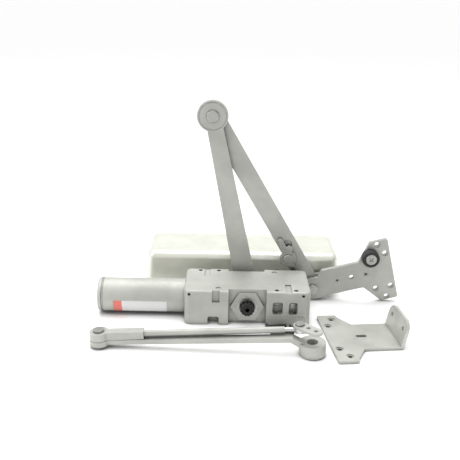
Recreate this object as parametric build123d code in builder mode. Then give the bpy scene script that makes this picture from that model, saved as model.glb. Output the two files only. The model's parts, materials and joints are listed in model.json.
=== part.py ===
"""Heavy-duty surface door closer laid out as its kit: closer body, hold-open arm, cover, regular arm, soffit plate.

Frame: origin on the mounting face under the spindle axis, +X along the body, +Y to the arm side, +Z up. Millimetres.
"""

import os
from math import acos, atan2, cos, degrees, pi, radians, sin, tan

from build123d import *

os.makedirs("parts", exist_ok=True)

# closer body
BODY_HALF_LENGTH = 93.0
BODY_HALF_WIDTH = 42.0
BODY_HEIGHT = 54.0
BORE_Z = BODY_HEIGHT / 2
BORE_RADIUS = 19.05
RECESS_HALF_LENGTH = 28.0
RECESS_DEPTH = 9.2
RECESS_FACE = BODY_HALF_WIDTH - RECESS_DEPTH
MOUNT_HOLE_X = (43.0, 71.3)
MOUNT_HOLE_Y = 34.4
MOUNT_HOLE_RADIUS = 3.3
POCKET_DEPTH = 12.0
POCKETS_X = ((37.0, 52.3), (61.0, 74.0))
POCKET_Z = (17.7, 37.6)

# spring tube
TUBE_RADIUS = 25.4
TUBE_BORE = 20.2
TUBE_LEFT = -216.0
CAP_LEFT = -224.0
SPIGOT_RADIUS = 22.0
SPIGOT_RIGHT = -82.0

# rack and pinion
MODULE = 2.0
TEETH = 12
PITCH_RADIUS = MODULE * TEETH / 2
PRESSURE_ANGLE = radians(20)
BACKLASH = 0.3
PINION_HALF_WIDTH = 9.0
PINION_TIP = PITCH_RADIUS + 0.9 * MODULE
PINION_ROOT = PITCH_RADIUS - MODULE
RACK_LINE = BORE_Z + PITCH_RADIUS
RACK_TIP = RACK_LINE - 0.65 * MODULE
RACK_ROOT = RACK_LINE + 1.1 * MODULE
PISTON_RADIUS = 19.0
PISTON_HALF_LENGTH = 45.0
PISTON_TRAVEL = 16.5

# spindle
SPINDLE_RADIUS = 10.6
SPINDLE_FRONT = -47.0
SPINDLE_REAR = 52.0
BEARING_RADIUS = 16.0
BEARING_Y = (20.0, 27.0)
SEAL_Y = (27.0, 30.0)
NUT_Y = (30.0, 36.3)
NUT_VERTEX = 25.0

# heavy-duty arm, stations across the body
SPINDLE = (0.0, BORE_Z)
ELBOW = (-56.0, 293.0)
SHOE = (107.0, 19.0)
MAIN_ARM_Y = (44.5, 53.5)
FOREARM_Y = (54.5, 62.5)
LEVER_Y = (49.5, 54.2)
PLATE_Y = (47.0, 54.0)
REAR_EAR_Y = (63.0, 69.0)
FOREARM_HALF_WIDTH = 14.5
FOREARM_ANGLE = degrees(atan2(ELBOW[1] - SHOE[1], ELBOW[0] - SHOE[0]))
PIN_RADIUS = 6.0
SHOE_PIN_RADIUS = 5.0
RUNNING_GAP = 0.05

# hold-open lever and shoe bracket
LEVER_FROM_SHOE = 64.6
LEVER_OFFSET = 10.2
SHOE_ANGLE = 14.8
NECK_OFFSET = 6.0
NECK_HALF_WIDTH = 22.0
HEAD_HALF_WIDTH = 51.0
HEAD_U = (98.0, 130.0)
HEAD_HOLES = ((98.0, -28.0), (122.0, 28.5), (122.0, -28.5), (112.5, 45.5), (112.5, -45.5))
BUMPER_AT = (98.0, 28.0)
HEAD_HOLE_RADIUS = 3.6
MOUTH_RADIUS = 5.4
MOUTH_DEPTH = 1.2

# cover
COVER_X = (-164.0, 154.0)
COVER_Y = (74.0, 176.0)
COVER_HEIGHT = 66.0
COVER_WALL = 2.5
COVER_ROUND = 12.0
COVER_DRAFT = 5.0

# regular arm, lying in front of the body
SPARE_EYE = (88.0, -121.0)
SPARE_ELBOW = (-204.0, -109.0)
SPARE_TILT = radians(3.2)
SPARE_EYE_RADIUS = 18.4
SPARE_EYE_HEIGHT = 17.5
SPARE_BAR_Z = (20.0, 26.5)
SPARE_KNUCKLE = 13.5
SPARE_SWING = 1.7
SPARE_ROD_Z = 32.6

# soffit plate
SOFFIT_AT = (113.6, -81.9)
SOFFIT_TURN = -6.2
SOFFIT_THICKNESS = 4.5
SOFFIT_HEAD = (29.0, 131.0)
SOFFIT_NECK = 70.0
SOFFIT_BEND = 100.0
SOFFIT_FLANGE = 36.0
SOFFIT_LEAN = radians(12)
SOFFIT_HOLE = 3.4


def facing(y):
    """Plane whose sketch coordinates are world X and Z; extruding goes to the front."""
    return Plane(origin=(0, y, 0), x_dir=(1, 0, 0), z_dir=(0, -1, 0))


def along(start, angle, distance, side=0.0):
    """Point at a distance and a side offset from a start point, in the XZ plane."""
    a = radians(angle)
    return (start[0] + distance * cos(a) - side * sin(a), start[1] + distance * sin(a) + side * cos(a))


def round_y(centre, radius, span, mode=Mode.ADD):
    """Round boss or hole along Y, between two stations."""
    with BuildSketch(facing(span[1])) as circle:
        with Locations(centre):
            Circle(radius)
    extrude(circle.sketch, amount=span[1] - span[0], mode=mode)


def round_x(radius, span, centre=(0.0, BORE_Z), mode=Mode.ADD):
    """Round bar or bore along X, between two stations."""
    with BuildSketch(Plane.YZ.offset(span[0])) as circle:
        with Locations(centre):
            Circle(radius)
    extrude(circle.sketch, amount=span[1] - span[0], mode=mode)


def link(start, start_radius, end, end_radius, span, mode=Mode.ADD):
    """Flat bar with round ends between two points in the XZ plane."""
    with BuildSketch(facing(span[1])) as bar:
        with Locations(start):
            Circle(start_radius)
        with Locations(end):
            Circle(end_radius)
        make_hull()
    extrude(bar.sketch, amount=span[1] - span[0], mode=mode)


def block(x, y, z, mode=Mode.ADD):
    """Box between three pairs of world stations."""
    with Locations(((x[0] + x[1]) / 2, (y[0] + y[1]) / 2, (z[0] + z[1]) / 2)):
        Box(x[1] - x[0], y[1] - y[0], z[1] - z[0], mode=mode)


def ring_y(outer, inner, span, centre=SPINDLE):
    """Ring along Y, as its own part."""
    with BuildPart() as ring:
        round_y(centre, outer, span)
        round_y(centre, inner, (span[0] - 1, span[1] + 1), mode=Mode.SUBTRACT)
    return ring


def save(piece, name):
    """Label a finished piece and write its file."""
    piece.part.label = name
    export_step(piece.part, f"parts/{name}.step")


def span_of(side, stations):
    """Mirror a pair of Y stations to the front (-1) or the rear (1)."""
    return tuple(sorted(side * y for y in stations))


# ---------------------------------------------------------------- closer body
with BuildPart() as body_casting:
    with BuildSketch():
        RectangleRounded(2 * BODY_HALF_LENGTH, 2 * BODY_HALF_WIDTH, 9)
    extrude(amount=BODY_HEIGHT)
    fillet(body_casting.edges().group_by(Axis.Z)[-1], 3)
    for side in (-1, 1):
        block((-RECESS_HALF_LENGTH, RECESS_HALF_LENGTH), span_of(side, (RECESS_FACE, BODY_HALF_WIDTH + 1)),
              (-1, BODY_HEIGHT + 1), Mode.SUBTRACT)
        # strap channel, bottom arch and valve pockets, the same seen from either side
        block(span_of(side, (41.0, 52.0)), span_of(side, (BODY_HALF_WIDTH - 3.5, BODY_HALF_WIDTH + 1)),
              (36, BODY_HEIGHT + 1), Mode.SUBTRACT)
        block(span_of(-side, (56.0, 65.0)), span_of(side, (14, BODY_HALF_WIDTH + 1)),
              (BODY_HEIGHT - 2, BODY_HEIGHT + 1), Mode.SUBTRACT)
        cut_from = side * BODY_HALF_WIDTH + (1 if side > 0 else POCKET_DEPTH)
        with BuildSketch(facing(cut_from)) as arch:
            with Locations((side * 50.1, 0)):
                RectangleRounded(16.6, 26, 3)
        extrude(arch.sketch, amount=POCKET_DEPTH + 1, mode=Mode.SUBTRACT)
        for pocket in POCKETS_X:
            with BuildSketch(facing(cut_from)) as recess:
                with Locations((-side * sum(pocket) / 2, sum(POCKET_Z) / 2)):
                    RectangleRounded(pocket[1] - pocket[0], POCKET_Z[1] - POCKET_Z[0], 3)
            extrude(recess.sketch, amount=POCKET_DEPTH + 1, mode=Mode.SUBTRACT)
        for x in MOUNT_HOLE_X:
            with Locations((-side * x, side * MOUNT_HOLE_Y, BODY_HEIGHT)):
                Cylinder(MOUNT_HOLE_RADIUS, 3 * BODY_HEIGHT, mode=Mode.SUBTRACT)
        with Locations((side * 43.0, side * 30.0, BODY_HEIGHT)):
            Cylinder(4.0, 2.4, mode=Mode.SUBTRACT)
        for x, z in ((-side * 81.7, 48.4), (side * 85.6, 48.4)):
            round_y((x, z), 2.1, span_of(side, (BODY_HALF_WIDTH - 9, BODY_HALF_WIDTH + 1)), Mode.SUBTRACT)
        # lower lip under the pockets
        block(span_of(-side, (30.0, 84.0)), span_of(side, (BODY_HALF_WIDTH - 2, BODY_HALF_WIDTH + 1.6)), (0, 14))
        # spindle bore, bearing seat and valve hole
        round_y(SPINDLE, BEARING_RADIUS + RUNNING_GAP, span_of(side, (15, BODY_HALF_WIDTH)), Mode.SUBTRACT)
    for pocket in POCKETS_X:
        round_y((sum(pocket) / 2, BORE_Z), 3.5 + RUNNING_GAP, (-31, -21), Mode.SUBTRACT)
    round_x(BORE_RADIUS, (-BODY_HALF_LENGTH - 1, BODY_HALF_LENGTH + 1), mode=Mode.SUBTRACT)
    round_x(SPIGOT_RADIUS + RUNNING_GAP, (-BODY_HALF_LENGTH - 1, SPIGOT_RIGHT + 0.5), mode=Mode.SUBTRACT)
save(body_casting, "body_casting")

with BuildPart() as spring_tube:
    round_x(TUBE_RADIUS, (TUBE_LEFT, -BODY_HALF_LENGTH))
    chamfer(spring_tube.edges().filter_by(GeomType.CIRCLE).sort_by(Axis.X)[0], 0.8)
    round_x(SPIGOT_RADIUS, (-BODY_HALF_LENGTH, SPIGOT_RIGHT))
    round_x(TUBE_BORE, (TUBE_LEFT - 1, SPIGOT_RIGHT + 1), mode=Mode.SUBTRACT)
save(spring_tube, "spring_tube")

with BuildPart() as end_cap:
    round_x(TUBE_RADIUS, (CAP_LEFT, TUBE_LEFT))
    fillet(end_cap.edges().filter_by(GeomType.CIRCLE).sort_by(Axis.X)[0], 2.5)
    round_x(TUBE_RADIUS + 1, (TUBE_LEFT - 2.4, TUBE_LEFT - 0.9), mode=Mode.SUBTRACT)
    round_x(TUBE_RADIUS - 1.2, (TUBE_LEFT - 2.6, TUBE_LEFT))
    round_x(TUBE_BORE - 0.05, (TUBE_LEFT, TUBE_LEFT + 6))
    round_x(6 + RUNNING_GAP, (CAP_LEFT - 1, TUBE_LEFT + 7), mode=Mode.SUBTRACT)
    round_x(11, (CAP_LEFT - 1, CAP_LEFT + 3), mode=Mode.SUBTRACT)
save(end_cap, "end_cap")

with BuildPart() as spring_adjuster:
    round_x(6, (CAP_LEFT + 2.8, TUBE_LEFT + 30))
    with BuildSketch(Plane.YZ.offset(CAP_LEFT + 0.2)) as head:
        with Locations((0, BORE_Z)):
            RegularPolygon(9, 6)
    extrude(head.sketch, amount=2.6)
    with BuildSketch(Plane.YZ.offset(CAP_LEFT)) as socket:
        with Locations((0, BORE_Z)):
            RegularPolygon(4, 6)
    extrude(socket.sketch, amount=8, mode=Mode.SUBTRACT)
save(spring_adjuster, "spring_adjuster")

with BuildPart() as spring_seat:
    round_x(17.8, (TUBE_LEFT + 7, TUBE_LEFT + 11))
    round_x(12.2, (TUBE_LEFT + 11, TUBE_LEFT + 36))
    round_x(6 + RUNNING_GAP, (TUBE_LEFT + 6, TUBE_LEFT + 31), mode=Mode.SUBTRACT)
save(spring_seat, "spring_seat")

SPRING_RIGHT = -PISTON_HALF_LENGTH
SPRING_LEFT = TUBE_LEFT + 11.5 + PISTON_TRAVEL
SPRING_MEAN = 15.5
SPRING_WIRE = 2.7
with BuildPart() as main_spring:
    with BuildLine() as coil:
        Helix(
            pitch=11.0,
            height=SPRING_RIGHT - SPRING_LEFT - 2 * SPRING_WIRE,
            radius=SPRING_MEAN,
            center=(SPRING_LEFT + SPRING_WIRE, 0, BORE_Z),
            direction=(1, 0, 0),
        )
    with BuildSketch(Plane(origin=coil.line @ 0, z_dir=coil.line % 0)):
        Circle(SPRING_WIRE)
    sweep(is_frenet=True)
save(main_spring, "main_spring")

with BuildPart() as end_plug:
    round_x(19.0, (BODY_HALF_LENGTH - 13, BODY_HALF_LENGTH - 0.6))
    chamfer(end_plug.edges().filter_by(GeomType.CIRCLE).sort_by(Axis.X)[-1], 0.8)
    round_x(20, (BODY_HALF_LENGTH - 10, BODY_HALF_LENGTH - 7), mode=Mode.SUBTRACT)
    round_x(17, (BODY_HALF_LENGTH - 10.5, BODY_HALF_LENGTH - 6.5))
    round_x(4 + RUNNING_GAP, (BODY_HALF_LENGTH - 14, BODY_HALF_LENGTH + 1), mode=Mode.SUBTRACT)
    for side in (-1, 1):
        round_x(2, (BODY_HALF_LENGTH - 4, BODY_HALF_LENGTH), (side * 12, BORE_Z), Mode.SUBTRACT)
save(end_plug, "end_plug")

with BuildPart() as end_plug_seal:
    round_x(19.0, (BODY_HALF_LENGTH - 9.8, BODY_HALF_LENGTH - 7.2))
    round_x(17.02, (BODY_HALF_LENGTH - 11, BODY_HALF_LENGTH - 6), mode=Mode.SUBTRACT)
save(end_plug_seal, "end_plug_seal")

with BuildPart() as backcheck_valve:
    round_x(4, (BODY_HALF_LENGTH - 12, BODY_HALF_LENGTH - 0.2))
    with BuildSketch(Plane.YZ.offset(BODY_HALF_LENGTH - 3)) as slot:
        with Locations((0, BORE_Z)):
            RegularPolygon(2.3, 6)
    extrude(slot.sketch, amount=4, mode=Mode.SUBTRACT)
save(backcheck_valve, "backcheck_valve")

for name, pocket in zip(("sweep_valve", "latch_valve"), POCKETS_X):
    at = (sum(pocket) / 2, BORE_Z)
    with BuildPart() as valve:
        round_y(at, 3.5, (-30.4, -22))
        with BuildSketch(facing(-29)) as slot:
            with Locations(at):
                Rectangle(8, 1.2)
        extrude(slot.sketch, amount=3, mode=Mode.SUBTRACT)
    save(valve, name)

for side, name in ((-1, "front"), (1, "rear")):
    bearing = ring_y(BEARING_RADIUS, SPINDLE_RADIUS + RUNNING_GAP, span_of(side, BEARING_Y))
    save(bearing, f"{name}_bearing")
    seal = ring_y(BEARING_RADIUS, SPINDLE_RADIUS + RUNNING_GAP, span_of(side, SEAL_Y))
    save(seal, f"{name}_seal")
    with BuildPart() as nut:
        with BuildSketch(facing(NUT_Y[1] if side > 0 else -RECESS_FACE)) as hexagon:
            with Locations(SPINDLE):
                RegularPolygon(NUT_VERTEX, 6)
        extrude(hexagon.sketch, amount=NUT_Y[1] - RECESS_FACE)
        round_y(SPINDLE, BEARING_RADIUS, span_of(side, (NUT_Y[0], RECESS_FACE)))
        round_y(SPINDLE, SPINDLE_RADIUS + 0.4, span_of(side, (NUT_Y[0] - 1, NUT_Y[1] + 1)), Mode.SUBTRACT)
    save(nut, f"{name}_nut")


# ------------------------------------------------------------ rack and pinion
def involute(angle):
    return tan(angle) - angle


def pinion_flank():
    """Half thickness, as an angle, at a few radii from root to tip."""
    base = PITCH_RADIUS * cos(PRESSURE_ANGLE)
    half_pitch = pi / (2 * TEETH) - BACKLASH / 2 / PITCH_RADIUS
    points = [(PINION_ROOT - 0.5, half_pitch + involute(PRESSURE_ANGLE))]
    for step in range(5):
        radius = base + (PINION_TIP - base) * step / 4
        points.append((radius, half_pitch + involute(PRESSURE_ANGLE) - involute(acos(base / radius))))
    return points


with BuildPart() as spindle:
    round_y(SPINDLE, SPINDLE_RADIUS, (SPINDLE_FRONT, -PINION_HALF_WIDTH))
    round_y(SPINDLE, SPINDLE_RADIUS, (PINION_HALF_WIDTH, SPINDLE_REAR))
    chamfer(spindle.edges().filter_by(GeomType.CIRCLE).group_by(Axis.Y)[0], 1)
    with BuildSketch(facing(PINION_HALF_WIDTH)) as pinion:
        with Locations(SPINDLE):
            Circle(PINION_ROOT)
        for tooth in range(TEETH):
            centre = pi / 2 + 2 * pi * tooth / TEETH
            flank = pinion_flank()
            outline = [(r, centre + a) for r, a in flank] + [(r, centre - a) for r, a in reversed(flank)]
            points = [(SPINDLE[0] + r * cos(a), SPINDLE[1] + r * sin(a)) for r, a in outline]
            with BuildLine():
                Polyline(*points, close=True)
            make_face()
    extrude(amount=2 * PINION_HALF_WIDTH)
    for groove in range(12):
        round_y(along(SPINDLE, 30 * groove, SPINDLE_RADIUS + 0.6), 2.0,
                (SPINDLE_FRONT - 1, SPINDLE_FRONT + 8), Mode.SUBTRACT)
    round_y(SPINDLE, 3.3, (SPINDLE_FRONT - 1, SPINDLE_FRONT + 12), Mode.SUBTRACT)
    round_y(SPINDLE, 3.02, (SPINDLE_REAR - 15, SPINDLE_REAR + 1), Mode.SUBTRACT)
save(spindle, "spindle")

WINDOW = (-PINION_TIP - 1, PINION_TIP + 1 + PISTON_TRAVEL)
with BuildPart() as rack_piston:
    round_x(PISTON_RADIUS, (-PISTON_HALF_LENGTH, PISTON_HALF_LENGTH))
    block(WINDOW, (-20, 20), (BORE_Z - 11.2, BORE_Z + 11.2), Mode.SUBTRACT)
    block(WINDOW, (-PINION_HALF_WIDTH - 0.6, PINION_HALF_WIDTH + 0.6), (BORE_Z - 14.5, RACK_ROOT), Mode.SUBTRACT)
    with BuildSketch(facing(PINION_HALF_WIDTH - 0.3)) as rack:
        pitch = pi * MODULE
        for tooth in range(-2, 5):
            middle = pitch * (tooth + 0.5)
            root_half = (pitch - BACKLASH) / 4 + (RACK_ROOT - RACK_LINE) * tan(PRESSURE_ANGLE)
            tip_half = (pitch - BACKLASH) / 4 - (RACK_LINE - RACK_TIP) * tan(PRESSURE_ANGLE)
            with BuildLine():
                Polyline(
                    (middle - root_half, RACK_ROOT + 0.2),
                    (middle - tip_half, RACK_TIP),
                    (middle + tip_half, RACK_TIP),
                    (middle + root_half, RACK_ROOT + 0.2),
                    close=True,
                )
            make_face()
    extrude(amount=2 * PINION_HALF_WIDTH - 0.6)
    round_x(20, (PISTON_HALF_LENGTH - 7, PISTON_HALF_LENGTH - 4), mode=Mode.SUBTRACT)
    round_x(17, (PISTON_HALF_LENGTH - 7.5, PISTON_HALF_LENGTH - 3.5))
    round_x(3.1, (PISTON_HALF_LENGTH - 9, PISTON_HALF_LENGTH + 1), mode=Mode.SUBTRACT)
save(rack_piston, "rack_piston")

with BuildPart() as piston_seal:
    round_x(PISTON_RADIUS, (PISTON_HALF_LENGTH - 6.8, PISTON_HALF_LENGTH - 4.2))
    round_x(17.02, (PISTON_HALF_LENGTH - 8, PISTON_HALF_LENGTH - 3), mode=Mode.SUBTRACT)
save(piston_seal, "piston_seal")

with BuildPart() as check_ball:
    with Locations((PISTON_HALF_LENGTH - 5.5, 0, BORE_Z)):
        Sphere(3)
save(check_ball, "check_ball")

# ------------------------------------------------------------- heavy-duty arm
with BuildPart() as main_arm:
    link(SPINDLE, 16.5, ELBOW, 11.75, MAIN_ARM_Y)
    round_y(ELBOW, 23, MAIN_ARM_Y)
    round_y(SPINDLE, 20, (NUT_Y[1] + 0.4, MAIN_ARM_Y[1]))
    fillet(main_arm.edges().filter_by(GeomType.CIRCLE).group_by(Axis.Y)[-1], 1)
    round_y(ELBOW, 20.6, (MAIN_ARM_Y[0] - 1, MAIN_ARM_Y[0] + 0.7), Mode.SUBTRACT)
    round_y(ELBOW, 19.6, (MAIN_ARM_Y[0], MAIN_ARM_Y[0] + 1))
    round_y(SPINDLE, SPINDLE_RADIUS, (30, 60), Mode.SUBTRACT)
    round_y(ELBOW, PIN_RADIUS, (40, 60), Mode.SUBTRACT)
save(main_arm, "main_arm")

arm_washer = ring_y(14, 3.05, (MAIN_ARM_Y[1], MAIN_ARM_Y[1] + 2))
save(arm_washer, "arm_washer")

with BuildPart() as arm_screw:
    round_y(SPINDLE, 3, (SPINDLE_REAR - 13, MAIN_ARM_Y[1] + 3))
    with BuildSketch(facing(MAIN_ARM_Y[1] + 7)) as head:
        with Locations(SPINDLE):
            RegularPolygon(6.5, 6)
    extrude(head.sketch, amount=5)
save(arm_screw, "arm_screw")

with BuildPart() as elbow_pin:
    round_y(ELBOW, PIN_RADIUS, (MAIN_ARM_Y[0] - 2, FOREARM_Y[1] + 1))
    round_y(ELBOW, 9, (MAIN_ARM_Y[0] - 3.5, MAIN_ARM_Y[0]))
    fillet(elbow_pin.edges().filter_by(GeomType.CIRCLE).group_by(Axis.Y)[0], 1.5)
    round_y(ELBOW, 9, (FOREARM_Y[1] + 0.3, FOREARM_Y[1] + 3.5))
save(elbow_pin, "elbow_pin")

elbow_washer = ring_y(15, PIN_RADIUS + RUNNING_GAP, (MAIN_ARM_Y[1], FOREARM_Y[0] - 0.25), ELBOW)
save(elbow_washer, "elbow_washer")

LEVER = along(SHOE, FOREARM_ANGLE, LEVER_FROM_SHOE, LEVER_OFFSET)
with BuildPart() as forearm:
    link(SHOE, FOREARM_HALF_WIDTH, ELBOW, FOREARM_HALF_WIDTH, FOREARM_Y)
    round_y(ELBOW, 20, FOREARM_Y)
    round_y(ELBOW, PIN_RADIUS + RUNNING_GAP, (50, 70), Mode.SUBTRACT)
    round_y(SHOE, SHOE_PIN_RADIUS + RUNNING_GAP, (50, 70), Mode.SUBTRACT)
    round_y(along(SHOE, FOREARM_ANGLE, 85), 7.5, (FOREARM_Y[0] - 1, FOREARM_Y[0] + 2), Mode.SUBTRACT)
    round_y(LEVER, 4, (50, 70), Mode.SUBTRACT)
save(forearm, "forearm")

with BuildPart() as hold_open_lever:
    round_y(LEVER, 13, LEVER_Y)
    link(LEVER, 6, along(LEVER, 114, 33), 4, LEVER_Y)
    link(LEVER, 6, along(LEVER, 86, 18), 4.5, LEVER_Y)
    link(LEVER, 5, along(LEVER, -64.5, 35), 4.5, LEVER_Y)
    fillet(hold_open_lever.edges().group_by(Axis.Y)[0], 0.6)
    round_y(LEVER, 4 + RUNNING_GAP, (40, 60), Mode.SUBTRACT)
save(hold_open_lever, "hold_open_lever")

with BuildPart() as lever_rivet:
    round_y(LEVER, 4, (LEVER_Y[0] - 1, FOREARM_Y[1] + 0.5))
    round_y(LEVER, 7.5, (LEVER_Y[0] - 2.6, LEVER_Y[0] - 0.3))
    fillet(lever_rivet.edges().filter_by(GeomType.CIRCLE).group_by(Axis.Y)[0], 1.2)
    round_y(LEVER, 6, (FOREARM_Y[1], FOREARM_Y[1] + 2))
save(lever_rivet, "lever_rivet")


def shoe_point(u, v):
    """Point of the shoe bracket from its distance along and across the bracket."""
    return along(SHOE, SHOE_ANGLE, u, v)


def head_point(u, v):
    """Point of the bracket's T head, measured across from its own centreline."""
    return shoe_point(u, v + NECK_OFFSET)


with BuildPart() as shoe_bracket:
    with BuildSketch(facing(PLATE_Y[1])) as plate:
        with BuildLine():
            Polyline(
                head_point(12, NECK_HALF_WIDTH - 8),
                head_point(20, NECK_HALF_WIDTH),
                head_point(79, NECK_HALF_WIDTH),
                head_point(HEAD_U[0] - 5, HEAD_HALF_WIDTH - 12),
                head_point(HEAD_U[0] + 4, HEAD_HALF_WIDTH),
                head_point(HEAD_U[1], HEAD_HALF_WIDTH),
                head_point(HEAD_U[1], -HEAD_HALF_WIDTH),
                head_point(HEAD_U[0] + 4, -HEAD_HALF_WIDTH),
                head_point(HEAD_U[0] - 5, 12 - HEAD_HALF_WIDTH),
                head_point(79, -NECK_HALF_WIDTH),
                head_point(12, -NECK_HALF_WIDTH),
                close=True,
            )
        make_face()
        fillet(plate.vertices(), 3.5)
    extrude(amount=PLATE_Y[1] - PLATE_Y[0])
    link(SHOE, 18.5, shoe_point(24, 0), 17, PLATE_Y)
    link(SHOE, 18.3, shoe_point(26, 0), 16, REAR_EAR_Y)
    with BuildSketch(facing(REAR_EAR_Y[1])) as bridge:
        with BuildLine():
            Polyline(
                shoe_point(20.5, -15), shoe_point(34, -15), shoe_point(34, 15), shoe_point(20.5, 15), close=True
            )
        make_face()
    extrude(amount=REAR_EAR_Y[1] - PLATE_Y[0])
    round_y(SHOE, SHOE_PIN_RADIUS, (40, 75), Mode.SUBTRACT)
    for u, v in HEAD_HOLES:
        round_y(head_point(u, v), HEAD_HOLE_RADIUS, (40, 75), Mode.SUBTRACT)
        round_y(head_point(u, v), MOUTH_RADIUS, (PLATE_Y[0] - 1, PLATE_Y[0] + MOUTH_DEPTH), Mode.SUBTRACT)
    round_y(head_point(*BUMPER_AT), 3, (40, 75), Mode.SUBTRACT)
    for u in (41, 87):
        round_y(head_point(u, 0), 4, (40, 75), Mode.SUBTRACT)
    round_y(head_point(64, 0), HEAD_HOLE_RADIUS, (40, 75), Mode.SUBTRACT)
save(shoe_bracket, "shoe_bracket")

with BuildPart() as shoe_pin:
    round_y(SHOE, SHOE_PIN_RADIUS, (PLATE_Y[0] - 1, REAR_EAR_Y[1] + 1))
    round_y(SHOE, 8.5, (PLATE_Y[0] - 3, PLATE_Y[0]))
    fillet(shoe_pin.edges().filter_by(GeomType.CIRCLE).group_by(Axis.Y)[0], 1.2)
    round_y(SHOE, 7.5, (REAR_EAR_Y[1], REAR_EAR_Y[1] + 2))
save(shoe_pin, "shoe_pin")

with BuildPart() as set_screws:
    for u in (41, 87):
        round_y(head_point(u, 0), 4, (PLATE_Y[0] + 0.6, PLATE_Y[1]))
        with BuildSketch(facing(PLATE_Y[0] + 3)) as socket:
            with Locations(head_point(u, 0)):
                RegularPolygon(2.3, 6)
        extrude(socket.sketch, amount=4, mode=Mode.SUBTRACT)
save(set_screws, "set_screws")

BUMPER = head_point(*BUMPER_AT)
BUMPER_FRONT = PLATE_Y[0] - 14
with BuildPart() as bumper:
    round_y(BUMPER, 13.3, (BUMPER_FRONT, PLATE_Y[0]))
    fillet(bumper.edges().filter_by(GeomType.CIRCLE).group_by(Axis.Y)[0], 2)
    round_y(BUMPER, 3, (BUMPER_FRONT - 1, PLATE_Y[0] + 1), Mode.SUBTRACT)
    round_y(BUMPER, 9, (BUMPER_FRONT - 1, BUMPER_FRONT + 2.5), Mode.SUBTRACT)
save(bumper, "bumper")

with BuildPart() as bumper_screw:
    round_y(BUMPER, 3, (BUMPER_FRONT + 1, PLATE_Y[1] + 2))
    round_y(BUMPER, 8.8, (BUMPER_FRONT - 0.6, BUMPER_FRONT + 2.5))
    fillet(bumper_screw.edges().filter_by(GeomType.CIRCLE).group_by(Axis.Y)[0], 1.8)
    with BuildSketch(facing(BUMPER_FRONT + 1)) as cross:
        with Locations(BUMPER):
            Rectangle(8, 1.6, rotation=45)
            Rectangle(8, 1.6, rotation=-45)
    extrude(cross.sketch, amount=4, mode=Mode.SUBTRACT)
save(bumper_screw, "bumper_screw")

# ---------------------------------------------------------------------- cover
COVER_LENGTH = COVER_X[1] - COVER_X[0]
COVER_WIDTH = COVER_Y[1] - COVER_Y[0]
COVER_CENTRE = (sum(COVER_X) / 2, sum(COVER_Y) / 2)


def cover_block(wall):
    """Cover outline as a drafted, rounded block, shrunk by a wall."""
    with BuildPart() as shell:
        for z, shrink in ((0, 0), (COVER_HEIGHT - wall, COVER_DRAFT)):
            with BuildSketch(Plane.XY.offset(z)):
                with Locations(COVER_CENTRE):
                    RectangleRounded(
                        COVER_LENGTH - 2 * wall - 2 * shrink,
                        COVER_WIDTH - 2 * wall - shrink,
                        COVER_ROUND - wall,
                    )
        loft()
        fillet(shell.edges().group_by(Axis.Z)[-1], COVER_ROUND - wall - 1)
    return shell.part


cover_inside = cover_block(COVER_WALL)
with BuildPart() as cover:
    add(cover_block(0))
    add(cover_inside, mode=Mode.SUBTRACT)
    for y in COVER_Y:
        with BuildSketch(facing(y + 12)) as notch:
            with Locations((0, 0)):
                SlotOverall(54, 30, rotation=90)
        extrude(notch.sketch, amount=24, mode=Mode.SUBTRACT)
save(cover, "cover")

# ---------------------------------------------------------------- regular arm
SPARE_PLAN = Vector(SPARE_ELBOW[0] - SPARE_EYE[0], SPARE_ELBOW[1] - SPARE_EYE[1])
SPARE_LENGTH = SPARE_PLAN.length
SPARE_DIR = SPARE_PLAN.normalized()
SPARE = Plane(
    origin=(SPARE_EYE[0], SPARE_EYE[1], SPARE_EYE_RADIUS * sin(SPARE_TILT) + 0.05),
    x_dir=(SPARE_DIR.X * cos(SPARE_TILT), SPARE_DIR.Y * cos(SPARE_TILT), -sin(SPARE_TILT)),
    z_dir=(SPARE_DIR.X * sin(SPARE_TILT), SPARE_DIR.Y * sin(SPARE_TILT), cos(SPARE_TILT)),
)
SPARE_SIDE = Plane(origin=SPARE.origin, x_dir=SPARE.x_dir, z_dir=-SPARE.y_dir)


def disc(plane, x, radius, low, high, mode=Mode.ADD):
    """Disc or hole square to a plane, at a distance along its X."""
    with BuildSketch(plane.offset(low)) as circle:
        with Locations((x, 0)):
            Circle(radius)
    extrude(circle.sketch, amount=high - low, mode=mode)


with BuildPart() as spare_arm:
    disc(SPARE, 0, SPARE_EYE_RADIUS, 0, SPARE_EYE_HEIGHT)
    disc(SPARE, SPARE_LENGTH, SPARE_KNUCKLE, SPARE_BAR_Z[0] - 1.5, SPARE_BAR_Z[1])
    with BuildSketch(SPARE_SIDE) as profile:
        with BuildLine():
            Polyline(
                (0, 6),
                (12, 8),
                (30, SPARE_BAR_Z[0]),
                (SPARE_LENGTH, SPARE_BAR_Z[0]),
                (SPARE_LENGTH, SPARE_BAR_Z[1]),
                (27, SPARE_BAR_Z[1]),
                (8, SPARE_EYE_HEIGHT - 1),
                (0, SPARE_EYE_HEIGHT - 1),
                close=True,
            )
        make_face()
    extrude(amount=6.5, both=True)
    disc(SPARE, 0, 8, -1, 30, Mode.SUBTRACT)
    disc(SPARE, SPARE_LENGTH, 4, 0, 40, Mode.SUBTRACT)
save(spare_arm, "spare_arm")

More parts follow.
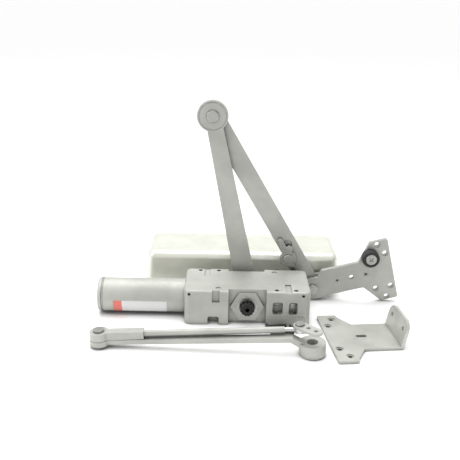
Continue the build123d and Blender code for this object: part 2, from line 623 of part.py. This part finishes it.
SPARE_FORE = Plane(
    origin=SPARE.from_local_coords((SPARE_LENGTH, 0, 0)),
    x_dir=SPARE.from_local_coords(Vector(-1, 0, 0).rotate(Axis.Z, SPARE_SWING)) - SPARE.origin,
    z_dir=SPARE.z_dir,
)
SLEEVE_LENGTH = 62.0
SLEEVE_HALF = 7.0
TUBE_OUTER = 4.6
ROD_RADIUS = 3.2
ROD_TUBE_END = 255.0
SHOE_PIN_X = 276.0
FORE_Z = (SPARE_BAR_Z[1] + 0.4, SPARE_BAR_Z[1] + 11.4)
SPARE_SHOE_Z = (SPARE_ROD_Z + 3.6, SPARE_ROD_Z + 7.1)
SPARE_SHOE_ANGLE = -45.0
SPARE_SHOE_LENGTH = 46.0


def rod(plane, radius, start, end, height, mode=Mode.ADD):
    """Round rod along a plane's X at a height above it."""
    with BuildSketch(Plane(origin=plane.from_local_coords((start, 0, height)), z_dir=plane.x_dir)) as circle:
        Circle(radius)
    extrude(circle.sketch, amount=end - start, mode=mode)


with BuildPart() as spare_forearm:
    disc(SPARE_FORE, 0, SPARE_KNUCKLE - 0.5, *FORE_Z)
    with BuildSketch(SPARE_FORE.offset(FORE_Z[0])):
        with Locations((SLEEVE_LENGTH / 2, 0)):
            Rectangle(SLEEVE_LENGTH, 2 * SLEEVE_HALF)
    extrude(amount=FORE_Z[1] - FORE_Z[0])
    rod(SPARE_FORE, TUBE_OUTER, SLEEVE_LENGTH - 2, ROD_TUBE_END, SPARE_ROD_Z)
    disc(SPARE_FORE, 0, 4 + RUNNING_GAP, 10, 50, Mode.SUBTRACT)
    rod(SPARE_FORE, ROD_RADIUS + RUNNING_GAP, 80, ROD_TUBE_END + 1, SPARE_ROD_Z, Mode.SUBTRACT)
save(spare_forearm, "spare_forearm")

with BuildPart() as spare_elbow_pin:
    disc(SPARE, SPARE_LENGTH, 4, SPARE_BAR_Z[0] - 2, FORE_Z[1] + 1)
    disc(SPARE, SPARE_LENGTH, 6.5, SPARE_BAR_Z[0] - 3, SPARE_BAR_Z[0] - 1.5)
    disc(SPARE, SPARE_LENGTH, 7.5, FORE_Z[1] + 0.3, FORE_Z[1] + 3)
save(spare_elbow_pin, "spare_elbow_pin")

with BuildPart() as spare_rod:
    rod(SPARE_FORE, ROD_RADIUS, 130, SHOE_PIN_X - 7, SPARE_ROD_Z)
    disc(SPARE_FORE, SHOE_PIN_X, 8.5, SPARE_ROD_Z - 3, SPARE_ROD_Z + 3)
    disc(SPARE_FORE, SHOE_PIN_X, 4, SPARE_ROD_Z - 4, SPARE_ROD_Z + 4, Mode.SUBTRACT)
save(spare_rod, "spare_rod")

SPARE_SHOE_PLANE = Plane(
    origin=SPARE_FORE.from_local_coords((SHOE_PIN_X, 0, SPARE_SHOE_Z[0])),
    x_dir=SPARE_FORE.from_local_coords(Vector(1, 0, 0).rotate(Axis.Z, SPARE_SHOE_ANGLE)) - SPARE_FORE.origin,
    z_dir=SPARE_FORE.z_dir,
)
with BuildPart() as spare_shoe:
    with BuildSketch(SPARE_SHOE_PLANE):
        with Locations((SPARE_SHOE_LENGTH / 2 - 9, 0)):
            SlotOverall(SPARE_SHOE_LENGTH, 18)
        Circle(4 + RUNNING_GAP, mode=Mode.SUBTRACT)
        with Locations((15, 0), (28, 0)):
            Circle(3, mode=Mode.SUBTRACT)
    extrude(amount=SPARE_SHOE_Z[1] - SPARE_SHOE_Z[0])
save(spare_shoe, "spare_shoe")

with BuildPart() as spare_shoe_pin:
    disc(SPARE_FORE, SHOE_PIN_X, 4, SPARE_ROD_Z - 3.5, SPARE_SHOE_Z[1] + 1)
    disc(SPARE_FORE, SHOE_PIN_X, 5.5, SPARE_ROD_Z - 4.4, SPARE_ROD_Z - 3)
    disc(SPARE_FORE, SHOE_PIN_X, 6.5, SPARE_SHOE_Z[1] + 0.3, SPARE_SHOE_Z[1] + 2.6)
save(spare_shoe_pin, "spare_shoe_pin")

# --------------------------------------------------------------- soffit plate
SOFFIT = Plane(
    origin=(*SOFFIT_AT, 0),
    x_dir=(cos(radians(-SOFFIT_TURN)), sin(radians(-SOFFIT_TURN)), 0),
    z_dir=(0, 0, 1),
)
with BuildPart() as soffit_plate:
    with BuildSketch(SOFFIT) as outline:
        with Locations((SOFFIT_HEAD[0] / 2, 0)):
            Rectangle(*SOFFIT_HEAD)
        with Locations((SOFFIT_BEND / 2 + 4, 0)):
            Rectangle(SOFFIT_BEND - 8, SOFFIT_NECK)
        with BuildLine():
            Polyline(
                (SOFFIT_HEAD[0] - 1, -SOFFIT_HEAD[1] / 2 + 4),
                (SOFFIT_HEAD[0] + 16, -SOFFIT_NECK / 2),
                (SOFFIT_HEAD[0] + 16, SOFFIT_NECK / 2),
                (SOFFIT_HEAD[0] - 1, SOFFIT_HEAD[1] / 2 - 4),
                close=True,
            )
        make_face()
        fillet(outline.vertices(), 2.5)
    extrude(amount=SOFFIT_THICKNESS)
    flange_face = Plane(
        origin=SOFFIT.from_local_coords((SOFFIT_BEND, 0, 0)),
        x_dir=SOFFIT.y_dir,
        z_dir=SOFFIT.x_dir * cos(SOFFIT_LEAN) - SOFFIT.z_dir * sin(SOFFIT_LEAN),
    )
    with BuildSketch(flange_face) as flange:
        with Locations((0, SOFFIT_FLANGE / 2 + 2)):
            RectangleRounded(SOFFIT_NECK, SOFFIT_FLANGE + 4, 15)
        with Locations((0, 6)):
            Rectangle(SOFFIT_NECK, 12)
    extrude(amount=-SOFFIT_THICKNESS)
    with BuildSketch(SOFFIT.offset(-1)) as holes:
        with Locations((19, 53), (19, -53), (9.4, 33), (9.4, -33)):
            Circle(SOFFIT_HOLE)
        with Locations((50, 0)):
            SlotOverall(16, 2 * SOFFIT_HOLE)
    extrude(amount=SOFFIT_THICKNESS + 2, mode=Mode.SUBTRACT)
    with BuildSketch(SOFFIT.offset(SOFFIT_THICKNESS)):
        with Locations((19, 53), (19, -53), (9.4, 33), (9.4, -33)):
            Circle(MOUTH_RADIUS)
    extrude(amount=-MOUTH_DEPTH, mode=Mode.SUBTRACT)
    with BuildSketch(flange_face.offset(1)) as flange_holes:
        with Locations((22, 26), (-22, 26)):
            Circle(SOFFIT_HOLE)
    extrude(amount=-SOFFIT_THICKNESS - 2, mode=Mode.SUBTRACT)
save(soffit_plate, "soffit_plate")

# ------------------------------------------------------------ mounting screws
SCREW_LENGTH = 28.0
with BuildPart() as mounting_screws:
    for x, y, turn in ((64, -58, -8), (40, -66, -12), (36, -80, 5), (30, -56, 10)):
        across = Plane(origin=(x, y, 5.2), z_dir=(cos(radians(turn)), sin(radians(turn)), 0))
        with BuildSketch(across) as shank:
            Circle(2.6)
        extrude(amount=SCREW_LENGTH)
        with BuildSketch(across) as head:
            Circle(5.2)
        extrude(amount=-2.8)
save(mounting_screws, "mounting_screws")
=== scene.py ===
"""Looks of the door closer kit: paint, steel and rubber, blank label, screw threads, studio and camera."""

import json
import math

import bpy
from mathutils import Matrix, Vector


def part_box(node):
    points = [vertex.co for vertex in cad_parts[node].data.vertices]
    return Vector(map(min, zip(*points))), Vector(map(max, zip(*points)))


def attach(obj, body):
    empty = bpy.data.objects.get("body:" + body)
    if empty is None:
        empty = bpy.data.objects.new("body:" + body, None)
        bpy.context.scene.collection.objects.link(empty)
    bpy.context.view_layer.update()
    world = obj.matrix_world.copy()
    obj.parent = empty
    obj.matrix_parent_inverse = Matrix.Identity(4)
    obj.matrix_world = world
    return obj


MM = 0.001
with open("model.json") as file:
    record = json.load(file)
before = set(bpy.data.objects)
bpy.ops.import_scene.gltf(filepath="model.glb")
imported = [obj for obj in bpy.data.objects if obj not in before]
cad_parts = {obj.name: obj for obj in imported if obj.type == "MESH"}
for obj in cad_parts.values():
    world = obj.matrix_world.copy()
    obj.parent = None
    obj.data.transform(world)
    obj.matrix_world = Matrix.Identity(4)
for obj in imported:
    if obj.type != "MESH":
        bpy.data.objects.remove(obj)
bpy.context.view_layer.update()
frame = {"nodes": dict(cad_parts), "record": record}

# camera, fitted once to the assumed sizes of the closer body
CAMERA_AT = Vector((-36, -924.6, 474)) * MM
CAMERA_PITCH = math.radians(20.18)
CAMERA_YAW = math.radians(0.52)
CAMERA_ROLL = math.radians(1.31)
CAMERA_LENS = 52.4

LABEL_LENGTH = 80 * MM
LABEL_BAND = 13 * MM
LABEL_ARC = (-72, 2)
LABEL_THICKNESS = 0.15 * MM
LABEL_LIFT = 0.05 * MM
LABEL_STEPS = 24

NUT_RING_INNER = 12.2 * MM
NUT_RING_OUTER = 15.5 * MM
NUT_RING_THICKNESS = 0.35 * MM
RING_STEPS = 64

THREAD_PITCH = 1.6 * MM
THREAD_DEPTH = 0.35 * MM
THREAD_STEPS = 20
THREAD_RUNOUT = 0.6 * MM
THREADED_SHARE = 0.9
SHANK_RADIUS = 2.6 * MM
HEAD_REACH = 4.5 * MM
TIP_REACH = 20 * MM

CLOUD_SCALE = 28.0
PATCH_SCALE = 140.0
WEAR_RADIUS = 1.1 * MM
# painted shade: occlusion reach and darkening factor of the shade painted into closed-in places
PAINTED_SHADE_REACH = 10.0 * MM
PAINTED_SHADE_FACTOR = 0.25
GRAIN_HEIGHT = 0.4 * MM

FLOOR_HALF_SIZE = 60.0
FLOOR_DROP = 0.2 * MM
WORLD_STRENGTH = 1.05


# ------------------------------------------------------------------ materials
def node(tree, kind, **inputs):
    """Add a node and set its inputs by name."""
    made = tree.nodes.new(kind)
    for name, value in inputs.items():
        made.inputs[name.replace("_", " ")].default_value = value
    return made


def mix_colour(tree, factor, first, second):
    """Mix two colours by a factor socket; each colour is a socket or an RGBA tuple."""
    mixed = tree.nodes.new("ShaderNodeMix")
    mixed.data_type = "RGBA"
    tree.links.new(factor, mixed.inputs["Factor"])
    for slot_name, colour in (("A", first), ("B", second)):
        socket = [s for s in mixed.inputs if s.name == slot_name and s.type == "RGBA"][0]
        if isinstance(colour, tuple):
            socket.default_value = colour
        else:
            tree.links.new(colour, socket)
    return [s for s in mixed.outputs if s.type == "RGBA"][0]


def ramp(tree, source, low, high, low_value=0.0, high_value=1.0):
    """Map a value between two stops onto two grey levels."""
    mapped = tree.nodes.new("ShaderNodeMapRange")
    mapped.inputs["From Min"].default_value = low
    mapped.inputs["From Max"].default_value = high
    mapped.inputs["To Min"].default_value = low_value
    mapped.inputs["To Max"].default_value = high_value
    tree.links.new(source, mapped.inputs["Value"])
    return mapped.outputs["Result"]


def grey(level, yellow=0.0):
    """Near-neutral colour, with less blue when it leans to yellow."""
    return (level, level * (1 + 0.1 * yellow), level * (1 - yellow), 1.0)


def surface(
    name, colour, worn, metallic, roughness, grain=900.0, bump=0.05, edge=0.5, spread=0.05, round_mm=0.5
):
    """Procedural surface: mottled colour, fine grain, uneven roughness, worn edges and painted shade where
    the surface is closed in.
    """
    material = bpy.data.materials.new(name)
    material.use_nodes = True
    tree = material.node_tree
    shader = tree.nodes["Principled BSDF"]
    place = tree.nodes.new("ShaderNodeTexCoord").outputs["Object"]

    cloud = node(tree, "ShaderNodeTexNoise", Scale=CLOUD_SCALE, Detail=5.0)
    fine = node(tree, "ShaderNodeTexNoise", Scale=grain, Detail=3.0)
    patch = node(tree, "ShaderNodeTexNoise", Scale=PATCH_SCALE, Detail=6.0)
    for texture in (cloud, fine, patch):
        tree.links.new(place, texture.inputs["Vector"])
    darker = tuple(c * (1 - 2 * spread) for c in colour[:3]) + (1.0,)
    lighter = tuple(min(1.0, c * (1 + spread)) for c in colour[:3]) + (1.0,)
    mottled = mix_colour(tree, ramp(tree, cloud.outputs["Fac"], 0.35, 0.65), darker, lighter)

    # edges, from the difference between the true normal and a rounded one
    rounded = node(tree, "ShaderNodeBevel", Radius=WEAR_RADIUS)
    rounded.samples = 4
    geometry = tree.nodes.new("ShaderNodeNewGeometry")
    facing = tree.nodes.new("ShaderNodeVectorMath")
    facing.operation = "DOT_PRODUCT"
    tree.links.new(rounded.outputs["Normal"], facing.inputs[0])
    tree.links.new(geometry.outputs["Normal"], facing.inputs[1])
    near_edge = ramp(tree, facing.outputs["Value"], 0.99, 0.86, 0.0, edge)
    broken = tree.nodes.new("ShaderNodeMath")
    broken.operation = "MULTIPLY"
    tree.links.new(near_edge, broken.inputs[0])
    tree.links.new(ramp(tree, patch.outputs["Fac"], 0.38, 0.62), broken.inputs[1])
    painted = mix_colour(tree, broken.outputs["Value"], mottled, worn)

    # painted shade: base colour darkened by ambient occlusion where the surface is closed in, standing in
    # for the shade in recesses, crevices and contact lines
    hidden = node(tree, "ShaderNodeAmbientOcclusion", Distance=PAINTED_SHADE_REACH)
    hidden.samples = 6
    painted_shade_colour = tuple(c * PAINTED_SHADE_FACTOR for c in colour[:3]) + (1.0,)
    painted_shade_mask = ramp(tree, hidden.outputs["AO"], 0.75, 0.25, 0.0, 0.85)
    tree.links.new(mix_colour(tree, painted_shade_mask, painted, painted_shade_colour), shader.inputs["Base Color"])

    shader.inputs["Metallic"].default_value = metallic
    uneven = ramp(tree, patch.outputs["Fac"], 0.3, 0.7, roughness - 0.06, roughness + 0.08)
    tree.links.new(uneven, shader.inputs["Roughness"])
    soft = node(tree, "ShaderNodeBevel", Radius=round_mm * MM)
    soft.samples = 4
    relief = node(tree, "ShaderNodeBump", Strength=bump, Distance=GRAIN_HEIGHT)
    tree.links.new(fine.outputs["Fac"], relief.inputs["Height"])
    tree.links.new(soft.outputs["Normal"], relief.inputs["Normal"])
    tree.links.new(relief.outputs["Normal"], shader.inputs["Normal"])
    return material


def look(colour, worn, metallic, roughness, **others):
    """Settings of one surface, by name."""
    return dict(colour=colour, worn=worn, metallic=metallic, roughness=roughness, **others)


LABEL_RED = (0.62, 0.16, 0.13, 1.0)
LOOKS = {
    "body_paint": look(grey(0.40, 0.07), grey(0.72, 0.05), 0.35, 0.5, grain=700.0, bump=0.3),
    "plate_paint": look(grey(0.45, 0.07), grey(0.78, 0.05), 0.5, 0.40, bump=0.15),
    "arm_paint": look(grey(0.36, 0.07), grey(0.78, 0.05), 0.5, 0.40, bump=0.15),
    "cover_paint": look(
        grey(0.66, 0.10), grey(0.75, 0.08), 0.65, 0.36, grain=1500.0, bump=0.04, edge=0.2, spread=0.03
    ),
    "machined": look(grey(0.55), grey(0.8), 1.0, 0.30, bump=0.04),
    "plated": look(grey(0.37, 0.05), grey(0.7, 0.04), 1.0, 0.28, bump=0.03),
    "black_steel": look(grey(0.018), grey(0.16), 0.6, 0.38, bump=0.05),
    "bumper_rubber": look(grey(0.012), grey(0.03), 0.0, 0.62, bump=0.12, edge=0.3),
    "seal_rubber": look(grey(0.015), grey(0.03), 0.0, 0.6, bump=0.1, edge=0.2),
    "label_band": look(LABEL_RED, grey(0.6), 0.0, 0.5, bump=0.02, edge=0.1),
    "label": look(grey(0.60), grey(0.5), 0.0, 0.5, bump=0.02, edge=0.1, spread=0.02, round_mm=0.05),
}
materials = {name: surface(name, **settings) for name, settings in LOOKS.items()}
for part in frame["record"]["subparts"]:
    cad = frame["nodes"][part["node"]]
    cad.data.materials.clear()
    cad.data.materials.append(materials[part["material_slot"]])


# --------------------------------------------------------------- extra pieces
def mesh_piece(name, points, faces, material, body):
    """Flat-shaded mesh from points in the row frame, painted and riding on a body."""
    data = bpy.data.meshes.new(name)
    data.from_pydata(points, [], faces)
    data.update()
    data.materials.append(materials[material])
    piece = bpy.data.objects.new(name, data)
    bpy.context.scene.collection.objects.link(piece)
    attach(piece, body)
    return piece


def tube_patch(name, start, length, material):
    """Thin patch wrapped round the lower front of the spring tube, from a start X."""
    low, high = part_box("spring_tube")
    axis_z = (low[2] + high[2]) / 2
    radius = (high[1] - low[1]) / 2
    steps = LABEL_STEPS
    points = []
    for lift in (LABEL_LIFT, LABEL_THICKNESS):
        for i in range(steps + 1):
            angle = math.radians(LABEL_ARC[0] + (LABEL_ARC[1] - LABEL_ARC[0]) * i / steps)
            y = -(radius + lift) * math.cos(angle)
            z = axis_z + (radius + lift) * math.sin(angle)
            points += [(start, y, z), (start + length, y, z)]
    top = 2 * (steps + 1)
    faces = []
    for i in range(steps):
        a = 2 * i
        faces.append((top + a, top + a + 2, top + a + 3, top + a + 1))
        faces.append((a, a + 1, a + 3, a + 2))
        faces.append((a, a + 2, top + a + 2, top + a))
        faces.append((a + 1, top + a + 1, top + a + 3, a + 3))
    last = 2 * steps
    faces.append((0, top, top + 1, 1))
    faces.append((last, last + 1, top + last + 1, top + last))
    mesh_piece(name, points, faces, material, "closer_body")


def label_on_tube():
    """Blank two-colour label with no print on it."""
    low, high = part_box("spring_tube")
    start = low[0] + 0.12 * (high[0] - low[0])
    tube_patch("label_band", start, LABEL_BAND, "label_band")
    tube_patch("label_blank", start + LABEL_BAND, LABEL_LENGTH - LABEL_BAND, "label")


def ring(name, centre, inner, outer, thick, outward, material, body):
    """Flat ring standing on a face that is square to Y."""
    steps = RING_STEPS
    points = []
    for i in range(steps):
        angle = 2 * math.pi * i / steps
        for radius, depth in ((inner, 0), (inner, thick), (outer, thick), (outer, 0)):
            x = centre[0] + radius * math.cos(angle)
            z = centre[2] + radius * math.sin(angle)
            points.append((x, centre[1] + outward * depth, z))
    faces = []
    for i in range(steps):
        a, b = 4 * i, 4 * ((i + 1) % steps)
        for j in range(4):
            k = (j + 1) % 4
            quad = (a + j, b + j, b + k, a + k)
            faces.append(quad if outward < 0 else quad[::-1])
    mesh_piece(name, points, faces, material, body)


def nut_rings():
    """Plated lock ring on the face of each pinion nut."""
    for side, name in ((-1, "front_nut"), (1, "rear_nut")):
        low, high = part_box(name)
        face = low[1] if side < 0 else high[1]
        centre = ((low[0] + high[0]) / 2, face, (low[2] + high[2]) / 2)
        ring(
            f"{name}_lock_ring", centre, NUT_RING_INNER, NUT_RING_OUTER, NUT_RING_THICKNESS, side, "plated",
            "closer_body",
        )


def screw_threads():
    """Helical thread on each black mounting screw, found from the loose pieces of the node."""
    mesh = frame["nodes"]["mounting_screws"].data
    links = [[] for _ in mesh.vertices]
    for e in mesh.edges:
        a, b = e.vertices
        links[a].append(b)
        links[b].append(a)
    place = [tuple(round(c, 7) for c in v.co) for v in mesh.vertices]
    same = {}
    for i, p in enumerate(place):
        same.setdefault(p, []).append(i)
    seen = set()
    count = 0
    for start in range(len(place)):
        if start in seen:
            continue
        group, todo = [], [start]
        seen.add(start)
        while todo:
            i = todo.pop()
            group.append(Vector(mesh.vertices[i].co))
            for j in links[i] + same[place[i]]:
                if j not in seen:
                    seen.add(j)
                    todo.append(j)
        thread(group, count)
        count += 1


def thread(group, number):
    """One helix round the shank of a screw given its corner points."""
    height = (min(p.z for p in group) + max(p.z for p in group)) / 2
    heads = [p for p in group if abs(p.z - height) > HEAD_REACH]
    tips = [p for p in group if (p - heads[0]).length > TIP_REACH]
    head = sum(heads, Vector()) / len(heads)
    tip = sum(tips, Vector()) / len(tips)
    head.z = tip.z = height
    along = (tip - head).normalized()
    upright = Vector((0, 0, 1))
    across = along.cross(upright)
    turns = int((tip - head).length * THREADED_SHARE / THREAD_PITCH)
    steps = THREAD_STEPS
    curve = bpy.data.curves.new(f"screw_thread_{number}", "CURVE")
    curve.dimensions = "3D"
    curve.bevel_depth = THREAD_DEPTH
    curve.bevel_resolution = 1
    line = curve.splines.new("POLY")
    line.points.add(turns * steps)
    for i in range(turns * steps + 1):
        angle = 2 * math.pi * i / steps
        centre = tip - along * (THREAD_RUNOUT + THREAD_PITCH * i / steps)
        at = centre + across * SHANK_RADIUS * math.cos(angle) + upright * SHANK_RADIUS * math.sin(angle)
        line.points[i].co = (*at, 1)
    curve.materials.append(materials["black_steel"])
    piece = bpy.data.objects.new(f"screw_thread_{number}", curve)
    bpy.context.scene.collection.objects.link(piece)
    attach(piece, "mounting_screws")


label_on_tube()
nut_rings()
screw_threads()


# --------------------------------------------------------------------- studio
def plain(name, colour, roughness):
    """Plain stage material with a faint mottling."""
    return surface(name, colour, colour, 0.0, roughness, bump=0.0, edge=0.0, spread=0.004, round_mm=0.01)


def add_floor():
    data = bpy.data.meshes.new("floor")
    size = FLOOR_HALF_SIZE
    corners = [(-size, -size, 0), (size, -size, 0), (size, size, 0), (-size, size, 0)]
    data.from_pydata(corners, [], [(0, 1, 2, 3)])
    data.materials.append(plain("floor_white", grey(0.93), 0.6))
    floor = bpy.data.objects.new("floor", data)
    bpy.context.scene.collection.objects.link(floor)
    floor.location.z = -FLOOR_DROP


def add_light(name, place, target, size, power):
    """Soft square light aimed at a point."""
    data = bpy.data.lights.new(name, "AREA")
    data.size = size
    data.energy = power
    lamp = bpy.data.objects.new(name, data)
    lamp.location = place
    lamp.rotation_euler = (Vector(target) - Vector(place)).to_track_quat("-Z", "Y").to_euler()
    bpy.context.scene.collection.objects.link(lamp)


def add_world():
    """Even white surround."""
    world = bpy.data.worlds.new("studio")
    world.use_nodes = True
    background = world.node_tree.nodes["Background"]
    background.inputs["Color"].default_value = (1, 1, 1, 1)
    background.inputs["Strength"].default_value = WORLD_STRENGTH
    bpy.context.scene.world = world


def add_camera():
    """Camera from its place, pitch, yaw and roll."""
    forward = Vector(
        (
            math.sin(CAMERA_YAW) * math.cos(CAMERA_PITCH),
            math.cos(CAMERA_YAW) * math.cos(CAMERA_PITCH),
            -math.sin(CAMERA_PITCH),
        )
    )
    level = Vector((math.cos(CAMERA_YAW), -math.sin(CAMERA_YAW), 0))
    upright = level.cross(forward)
    right = math.cos(CAMERA_ROLL) * level + math.sin(CAMERA_ROLL) * upright
    up = -math.sin(CAMERA_ROLL) * level + math.cos(CAMERA_ROLL) * upright
    data = bpy.data.cameras.new("camera")
    data.lens = CAMERA_LENS
    data.sensor_width = 36
    data.clip_start = 0.01
    camera = bpy.data.objects.new("camera", data)
    bpy.context.scene.collection.objects.link(camera)
    turned = Matrix((right, up, -forward)).transposed().to_4x4()
    camera.matrix_world = Matrix.Translation(CAMERA_AT) @ turned
    bpy.context.scene.camera = camera


add_floor()
add_world()
add_light("top_light", place=(-0.1, 0.45, 1.6), target=(0, 0.05, 0), size=1.3, power=23)
add_light("left_light", place=(-1.5, -0.5, 0.9), target=(0, 0, 0.05), size=0.8, power=8)
bpy.context.scene.view_settings.view_transform = "Standard"
add_camera()
